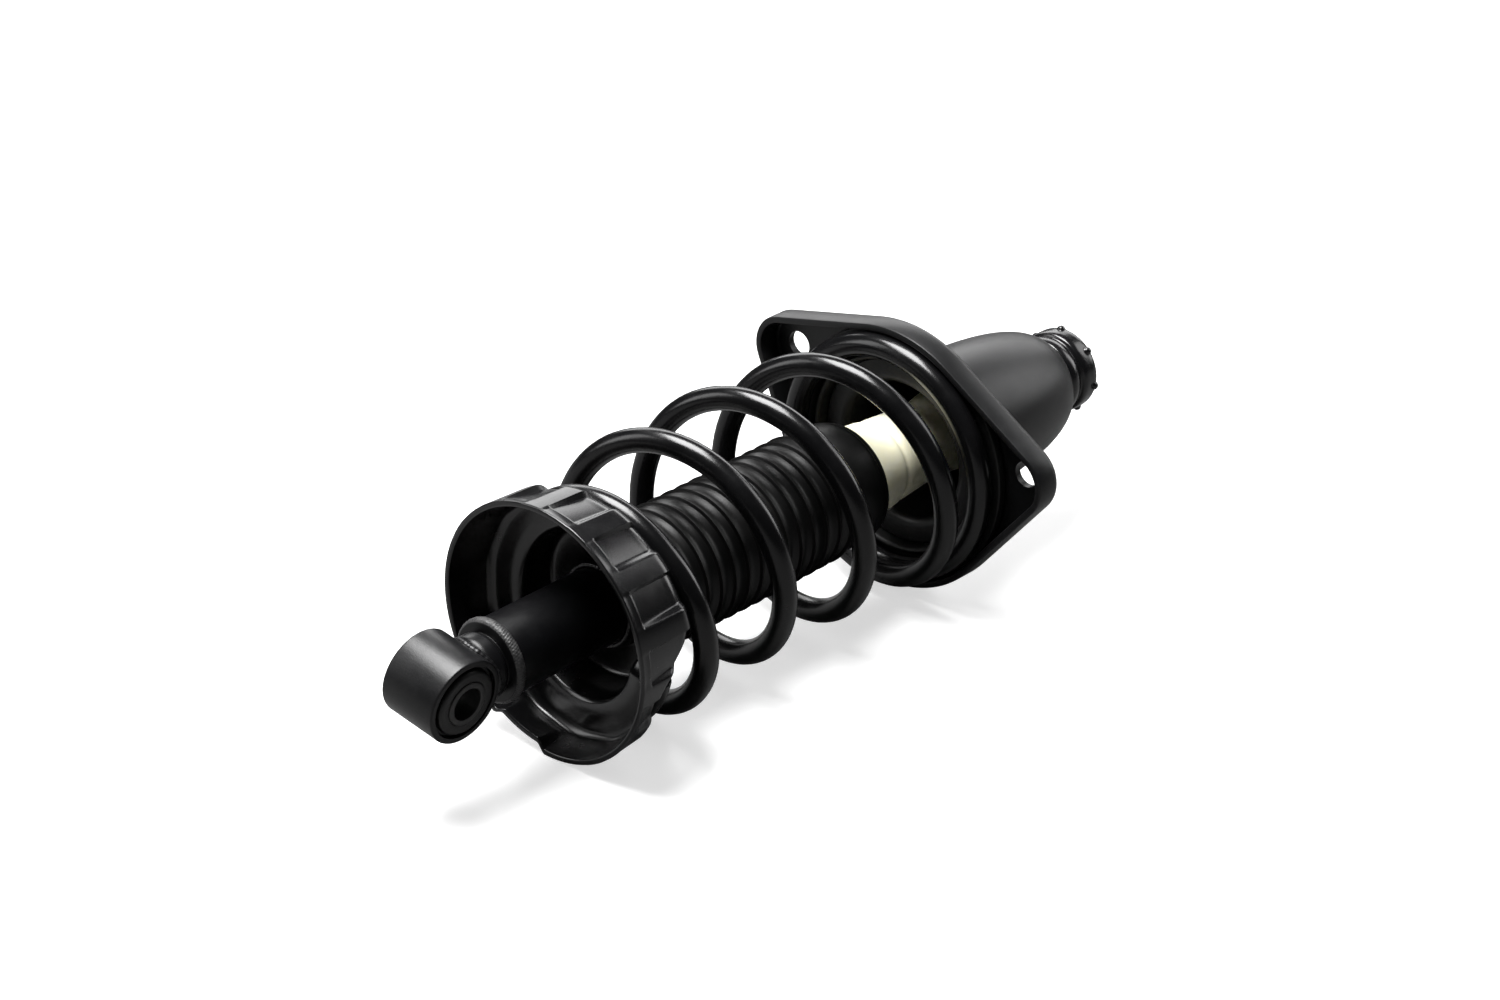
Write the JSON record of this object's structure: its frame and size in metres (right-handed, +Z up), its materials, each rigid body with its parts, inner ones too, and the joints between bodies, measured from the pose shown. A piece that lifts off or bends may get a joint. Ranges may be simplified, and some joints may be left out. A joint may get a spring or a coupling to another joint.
{
  "type": "suspension strut",
  "caption": "Suspension strut assembly: coil spring round a damper with a ribbed dust boot, domed top mount with bolt ears, ribbed lower spring seat and a rubber-bushed lower eye.",
  "frame": {"origin": "midway between the two mounting holes, on the flange's top face", "axes": "+Z up along the strut, from the lower eye towards the top mount; +X from one mounting hole to the other; the strut's own axis is at X 0, Y 21.5 mm"},
  "size_m": [0.166, 0.124, 0.4133],
  "materials": {
    "mount_paint": "satin",
    "seat_paint": "satin",
    "spring_paint": "gloss",
    "tube_paint": "satin",
    "eye_paint": "satin",
    "cap_plastic": "gloss",
    "boot_rubber": "matte",
    "pad_rubber": "matte",
    "bush_rubber": "matte",
    "eye_rubber": "matte",
    "seal_rubber": "matte",
    "bump_foam": "matte",
    "band_plastic": "matte",
    "cup_steel": "satin",
    "plated_steel": "satin",
    "spring_steel": "satin",
    "drawn_steel": "satin",
    "sintered_iron": "matte",
    "rod_chrome": "polished",
    "sleeve_steel": "satin"
  },
  "bodies": {
    "mount": {"mount_flange": "mount_paint", "mount_dome": "mount_paint", "upper_spring_pad": "pad_rubber", "bush_shell": "plated_steel", "top_bush": "bush_rubber", "bush_sleeve": "plated_steel", "top_washer": "plated_steel", "rod_nut": "plated_steel", "cup_washer": "cup_steel", "bump_stop": "bump_foam", "dust_boot": "boot_rubber", "coil_spring": "spring_paint", "piston_rod": "rod_chrome", "rebound_stop": "seal_rubber", "upper_shims": "spring_steel", "piston": "sintered_iron", "piston_band": "band_plastic", "lower_shims": "spring_steel", "piston_nut": "plated_steel"},
    "damper": {"strike_plate": "cup_steel", "oil_seal": "seal_rubber", "rod_guide": "sintered_iron", "working_cylinder": "drawn_steel", "foot_valve": "sintered_iron", "reserve_tube": "tube_paint", "tube_foot": "tube_paint", "lower_spring_seat": "seat_paint", "lower_eye": "eye_paint", "eye_bush": "eye_rubber"},
    "sleeve": {"eye_sleeve": "sleeve_steel"},
    "cap": {"top_cap": "cap_plastic"}
  },
  "joints": [
    {"name": "damper_slide", "type": "slide", "parent": "mount", "child": "damper", "axis": [0, 0, 1], "range_m": [0, 0.075], "stiffness_N_per_m": 28000, "springref_m": -0.015, "deforming": ["coil_spring", "dust_boot"]},
    {"name": "eye_twist", "type": "hinge", "parent": "damper", "child": "sleeve", "pos_m": [0, 0.0215, -0.283], "axis": [1, 0, 0], "range_deg": [-20, 20], "stiffness_Nm_per_rad": 5},
    {"name": "cap_lift", "type": "slide", "parent": "mount", "child": "cap", "axis": [0, 0, 1], "range_m": [0, 0.02]}
  ]
}
